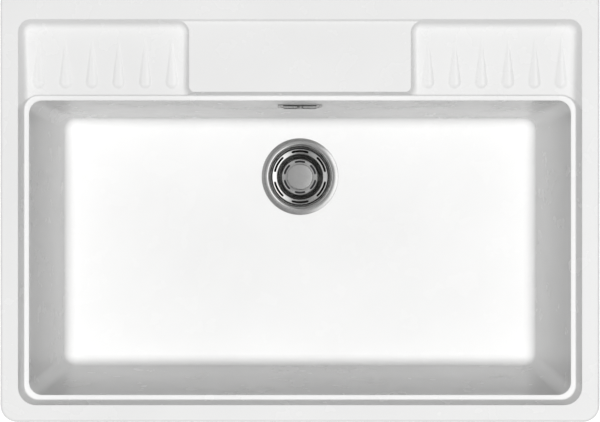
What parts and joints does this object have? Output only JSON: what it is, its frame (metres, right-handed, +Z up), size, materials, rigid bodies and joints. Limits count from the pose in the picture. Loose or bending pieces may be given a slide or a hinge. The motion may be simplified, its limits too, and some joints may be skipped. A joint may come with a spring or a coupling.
{
  "type": "kitchen sink",
  "caption": "Rectangular ceramic lay-on kitchen sink with one bowl, two ribbed corner trays, tap platform, basket strainer waste and overflow.",
  "frame": {"origin": "on top of the tap platform, at the tap's axis", "axes": "+X to the user's right along the sink's length, +Y to the wall, +Z up"},
  "size_m": [0.795, 0.56, 0.29],
  "materials": {
    "glazed_ceramic": "glossy glaze",
    "stainless": "satin, polished edges",
    "knob_steel": "satin",
    "screw_steel": "plain",
    "brass": "turned",
    "rubber": "matt",
    "waste_plastic": "moulded",
    "nut_plastic": "moulded",
    "stopper_plastic": "moulded",
    "hose_plastic": "moulded, flexible"
  },
  "bodies": {
    "sink": {"sink_body": "glazed_ceramic", "strainer_cup": "stainless", "flange_seal": "rubber", "lower_seal": "rubber", "waste_body": "waste_plastic", "clamp_screw": "screw_steel", "insert_nut": "brass", "overflow_cover": "stainless", "overflow_screw": "screw_steel", "overflow_insert": "brass", "overflow_seal": "rubber", "overflow_housing": "waste_plastic", "hose_nut_upper": "nut_plastic", "hose_nut_lower": "nut_plastic", "hose_seal_upper": "rubber", "hose_seal_lower": "rubber", "overflow_hose": "hose_plastic"},
    "basket": {"basket": "stainless", "basket_knob": "knob_steel", "stopper_plate": "stopper_plastic", "stopper_seal": "rubber", "knob_screw": "screw_steel"}
  },
  "joints": [
    {"name": "basket_lift", "type": "slide", "parent": "sink", "child": "basket", "axis": [0, 0, 1], "range_m": [0, 0.27]}
  ]
}
